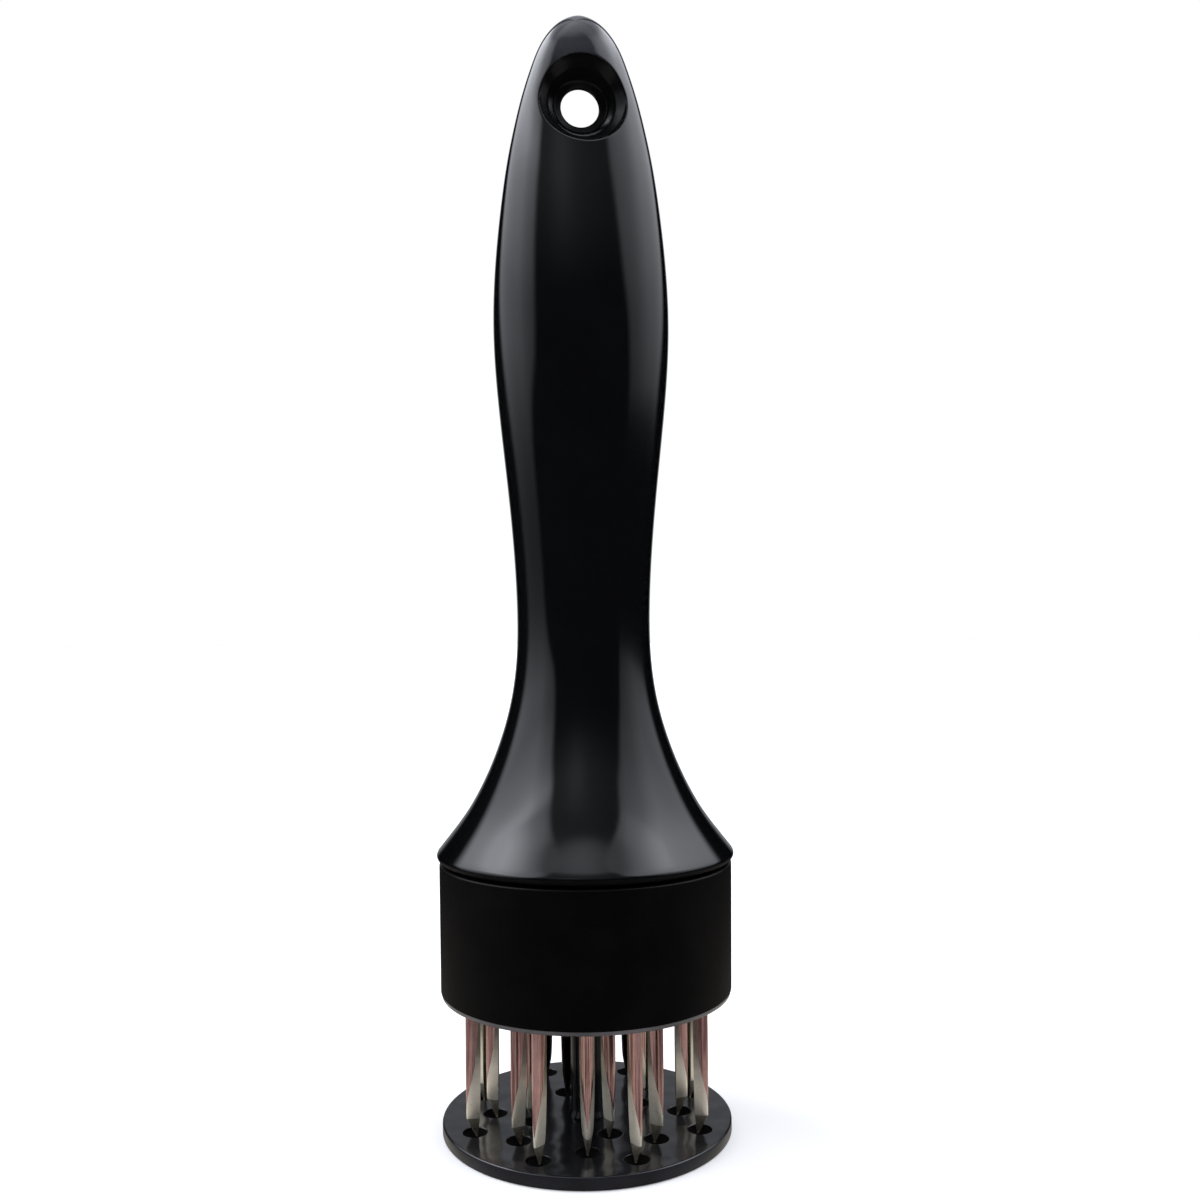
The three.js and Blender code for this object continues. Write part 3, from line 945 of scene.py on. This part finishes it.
def make_blade(name, r, a):
    b = Build()
    loops = [b.loop([(x, y, z) for x, y in blade_section(z)]) for z in BLADE_ROWS]
    n = len(loops[0])
    side = [0] * FACE_STEPS + [1] * BEVEL_STEPS + [2] * (BACK_STEPS + 1)
    marks = side + side[::-1]
    for k, (p, q) in enumerate(zip(loops[:-1], loops[1:])):
        z = (BLADE_ROWS[k] + BLADE_ROWS[k + 1]) / 2
        for i in range(n):
            j = (i + 1) % n
            mark = marks[i]
            # the tips take the painted-reflection finish
            if z < 4.8 and mark != 2:
                mark = 3
            elif z < 6.4 and mark == 0:
                mark = 1
            b.face((p[i], p[j], q[j], q[i]), mark)
    b.face(loops[0][::-1], 3)
    b.face(loops[-1], 2)
    turn = Matrix.Rotation(a, 4, "Z") @ Matrix.Translation((r * MM, 0, 0))
    b.place(
        name.replace("blade_", "knife_"),
        [BLADE_FACE, BLADE_BEVEL, BLADE_BACK, BLADE_TIP_REFLECTION],
        "blade_cartridge",
        "blade_steel",
        [name],
        sharp=22,
        turn=turn,
    )


for name, r, a in PLACES:
    make_blade(name, r, a)

# ---------------------------------------------------------------- return spring


def make_spring():
    b = Build()
    turns, per_turn, sides = 12, 40, 12
    radius, wire, low, high = 4.25, 0.4, 31.7, 90.7
    closed = 2 * wire + 0.15  # rise of the first and last turns
    stops = [0, 1, turns - 1, turns]
    heights = [low + wire, low + wire + closed, high - wire - closed, high - wire]
    loops = []
    for k in range(turns * per_turn + 1):
        t = k / per_turn
        a = t * 2 * math.pi
        z = float(np.interp(t, stops, heights))
        pts = []
        for i in range(sides):
            s = i / sides * 2 * math.pi
            r = radius + wire * math.cos(s)
            pts.append((r * math.cos(a), r * math.sin(a), z + wire * math.sin(s)))
        loops.append(b.loop(pts))
    for p, q in zip(loops[:-1], loops[1:]):
        b.strip(p, q, turned=True)
    b.face(loops[0])
    b.face(loops[-1][::-1])
    ob = b.place("coil_spring", [SPRING], "blade_cartridge", "spring_steel", ["return_spring"], sharp=50)
    # the plate's travel of 21.5 mm is taken up by the spring's length
    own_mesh(ob)


make_spring()

# ---------------------------------------------------------------- finishes of the CAD nodes that stay
KEPT = {
    "spring_housing": HEAD,
    "clamp_screw_1": SCREW,
    "clamp_screw_2": SCREW,
    "clamp_screw_3": SCREW,
    "clamp_screw_4": SCREW,
}
for node, mat in KEPT.items():
    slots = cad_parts[node].material_slots
    assert len(slots) > 0, node
    for s in slots:
        s.material = mat

# ---------------------------------------------------------------- floor


def make_floor():
    mat, g, s = material("floor_pale")
    where = g.place()
    tone = g.noise(where, 0.004, 2.0)
    g.put(s.inputs["Base Color"], g.mix(tone, (0.86, 0.86, 0.86), (0.9, 0.9, 0.9)))
    s.inputs["Roughness"].default_value = 0.9
    s.inputs["Specular IOR Level"].default_value = 0.0
    # painted shadow: the floor's own glow fades out under the plate, so that the plate's holes look down on shade
    xyz = g.node("ShaderNodeSeparateXYZ")
    g.put(xyz.inputs[0], where)
    reach = g.math("SQRT", g.add(g.mul(xyz.outputs[0], xyz.outputs[0]), g.mul(xyz.outputs[1], xyz.outputs[1])))
    g.put(s.inputs["Emission Color"], g.mix(g.step(reach, 19.5, 28.5), (0.0, 0.0, 0.0), (1.0, 1.0, 1.0)))
    s.inputs["Emission Strength"].default_value = 0.34
    # seen from below the floor is clear, so that the underside can be looked at
    clear = g.node("ShaderNodeBsdfTransparent")
    one_sided = g.node("ShaderNodeMixShader")
    g.put(one_sided.inputs[0], g.node("ShaderNodeNewGeometry").outputs["Backfacing"])
    g.put(one_sided.inputs[1], s.outputs[0])
    g.put(one_sided.inputs[2], clear.outputs[0])
    ending = next(k for k in mat.node_tree.nodes if k.type == "OUTPUT_MATERIAL")
    g.put(ending.inputs["Surface"], one_sided.outputs[0])
    n = 96
    radii = [0.03, 0.08, 0.2, 0.6, 2.0, 6.0]
    verts = [(0, 0, 0)]
    faces = []
    for r in radii:
        verts += [(r * math.cos(t), r * math.sin(t), 0) for t in np.arange(n) * 2 * math.pi / n]
    for i in range(n):
        j = (i + 1) % n
        faces.append((0, 1 + i, 1 + j))
        for k in range(len(radii) - 1):
            p, q = 1 + k * n, 1 + (k + 1) * n
            faces.append((p + i, q + i, q + j, p + j))
    me = bpy.data.meshes.new("floor")
    me.from_pydata(verts, [], faces)
    me.materials.append(mat)
    me.update()
    ob = bpy.data.objects.new("floor", me)
    COLLECTION.objects.link(ob)
    ob.location.z = -0.00005
    ob.visible_glossy = False


make_floor()

# ---------------------------------------------------------------- light
# Two tall soft panels left and right, a soft top, a dim front and a pale sheet behind and below.


def make_light():
    world = bpy.data.worlds.new("studio")
    bpy.context.scene.world = world
    world.use_nodes = True
    tree = world.node_tree
    tree.nodes.clear()
    g = Graph(tree)
    ray = g.node("ShaderNodeTexCoord").outputs["Generated"]
    front = (math.sin(CLOCK), -math.cos(CLOCK), 0)
    right = (math.cos(CLOCK), math.sin(CLOCK), 0)
    xyz = g.node("ShaderNodeSeparateXYZ")
    g.put(xyz.inputs[0], ray)
    az = g.mul(g.math("ARCTAN2", g.dot(ray, right), g.dot(ray, front)), 180 / math.pi)
    el = g.mul(g.math("ARCSINE", g.math("MINIMUM", g.math("MAXIMUM", xyz.outputs[2], -1.0), 1.0)), 180 / math.pi)
    away = g.math("ABSOLUTE", az)

    # Each panel has a crisp inner edge, whose place depends on the height, and grows brighter outwards.
    left = g.mul(az, -1.0)
    inner_l = g.curve(
        el,
        [(-90, 70), (-2, 66), (4, 60), (8, 53), (12, 48), (20, 46), (28, 46), (34, 45), (40, 43), (48, 44.5), (56, 44), (60, 41), (64, 34), (68, 24), (90, 10)],
        100.0,
    )
    outer_l = g.span(el, 0, 34, 105, 134)
    rise_l = g.curve(left, [(-90, 0.3), (34, 0.34), (44, 0.4), (52, 0.52), (58, 0.63), (64, 0.78), (74, 0.97), (90, 1.0)], 1.0)
    high_l = g.curve(left, [(-90, 0.15), (44, 0.19), (54, 0.29), (64, 0.4), (74, 0.62), (84, 0.86), (90, 1.0)], 1.0)
    panel_l = g.mul(
        g.step(g.math("SUBTRACT", left, inner_l), -4.5, 4.5),
        g.step(g.math("SUBTRACT", left, outer_l), 8, -8),
        g.span(g.step(el, 40, 46), 0, 1, rise_l, high_l),
        g.curve(
            el,
            [(-90, 0), (-8, 0), (-3, 0.08), (0, 0.30), (4, 0.62), (8, 0.92), (12, 1.15), (20, 1.32), (24, 1.65), (28, 2.05), (32, 2.5), (36, 3.3), (40, 4.4), (44, 4.9), (52, 5.6), (60, 2.6), (68, 1.2), (90, 0.8)],
            6.0,
        ),
    )
    inner_r = g.curve(
        el,
        [(-90, 66), (8, 62), (12, 60.5), (20, 57.5), (24, 55), (28, 52.5), (32, 50), (36, 47), (40, 44.5), (48, 44), (52, 43), (56, 41), (60, 37), (64, 29), (68, 20), (90, 10)],
        100.0,
    )
    outer_r = g.span(el, 8, 28, 118, 137)
    rise_r = g.curve(az, [(-90, 0.2), (40, 0.24), (48, 0.29), (54, 0.37), (60, 0.43), (66, 0.5), (72, 0.6), (78, 0.74), (86, 0.9), (90, 0.97)], 1.0)
    panel_r = g.mul(
        g.step(g.math("SUBTRACT", az, inner_r), -4.0, 4.0),
        g.step(g.math("SUBTRACT", az, outer_r), 7, -7),
        rise_r,
        g.curve(
            el,
            [(-90, 0), (1, 0), (3, 0.03), (6, 0.3), (8, 0.62), (12, 0.86), (20, 1.14), (24, 1.4), (28, 1.68), (32, 2.05), (36, 2.4), (40, 2.8), (44, 3.3), (52, 4.4), (60, 2.9), (68, 1.2), (90, 0.8)],
            6.0,
        ),
    )
    dim = g.mul(
        g.step(away, 76, 50),
        g.curve(
            el,
            [(-90, 0.0), (-4, 0.004), (22, 0.012), (26, 0.025), (29, 0.05), (32, 0.09), (36, 0.15), (40, 0.19), (46, 0.19), (52, 0.17), (58, 0.18), (62, 0.45), (66, 0.95), (72, 1.15), (90, 0.7)],
            1.2,
        ),
        g.step(az, 44, -6, 0.65, 1.15),
    )
    top = g.mul(g.step(el, 66, 88), 0.75)
    behind = g.mul(g.step(away, 152, 164), g.step(el, -9, -5), g.step(el, 62, 30, 0.9, 0.36))
    # a faint small glow a little left of the middle
    spot_az = g.math("DIVIDE", g.math("ADD", az, 12.0), 10.0)
    spot_el = g.math("DIVIDE", g.math("ADD", el, -41.0), 6.0)
    spot = g.mul(
        g.math("EXPONENT", g.mul(g.add(g.mul(spot_az, spot_az), g.mul(spot_el, spot_el)), -0.5)),
        0.22,
    )
    level = g.add(panel_l, panel_r, dim, spot, top, behind)
    cool = g.node("ShaderNodeVectorMath", operation="SCALE")
    cool.inputs[0].default_value = (0.955, 0.985, 1.06)
    g.put(cool.inputs["Scale"], level)
    # a pale sheet below the horizon, dark straight in front and steeply down
    below = g.mul(
        g.step(el, -15.2, -18.2),
        g.step(el, -46, -36, 0.03, 1.0),
        g.step(away, 4, 14, 0.5, 1.0),
        g.step(away, 165, 148, 0.1, 1.0),
    )
    warm = g.node("ShaderNodeVectorMath", operation="SCALE")
    side = g.step(away, 50, 110)
    g.put(warm.inputs[0], g.mix(side, (0.57, 0.54, 0.55), (0.92, 0.86, 0.76)))
    g.put(warm.inputs["Scale"], below)
    total = g.node("ShaderNodeVectorMath", operation="ADD")
    g.put(total.inputs[0], cool.outputs[0])
    g.put(total.inputs[1], warm.outputs[0])

    lit = g.node("ShaderNodeBackground")
    g.put(lit.inputs["Color"], total.outputs[0])
    plain = g.node("ShaderNodeBackground")
    plain.inputs["Color"].default_value = (1, 1, 1, 1)
    paths = g.node("ShaderNodeLightPath")
    choose = g.node("ShaderNodeMixShader")
    g.put(choose.inputs[0], paths.outputs["Is Camera Ray"])
    g.put(choose.inputs[1], lit.outputs[0])
    g.put(choose.inputs[2], plain.outputs[0])
    out = g.node("ShaderNodeOutputWorld")
    g.put(out.inputs[0], choose.outputs[0])
    bpy.context.scene.view_settings.view_transform = "Standard"


make_light()

# ---------------------------------------------------------------- camera


def make_camera():
    cam = bpy.data.cameras.new("camera")
    cam.sensor_width = 36.0
    cam.lens = 36.0
    cam.clip_start, cam.clip_end = 0.01, 20
    ob = bpy.data.objects.new("camera", cam)
    COLLECTION.objects.link(ob)
    distance, height, yaw, pitch, roll = 0.21625, 0.08885, 0.01375, 0.022, -0.008
    across = Vector((math.cos(yaw), -math.sin(yaw), 0))
    ahead = Vector((math.sin(yaw), math.cos(yaw), 0))
    up = Vector((0, 0, 1))
    look = math.cos(pitch) * ahead + math.sin(pitch) * up
    head = -math.sin(pitch) * ahead + math.cos(pitch) * up
    x = math.cos(roll) * across + math.sin(roll) * head
    y = -math.sin(roll) * across + math.cos(roll) * head
    m = Matrix.Identity(4)
    for i in range(3):
        m[i][0], m[i][1], m[i][2] = x[i], y[i], -look[i]
    m.translation = Vector((0, -distance, height))
    ob.matrix_world = Matrix.Rotation(CLOCK, 4, "Z") @ m
    bpy.context.scene.camera = ob


make_camera()
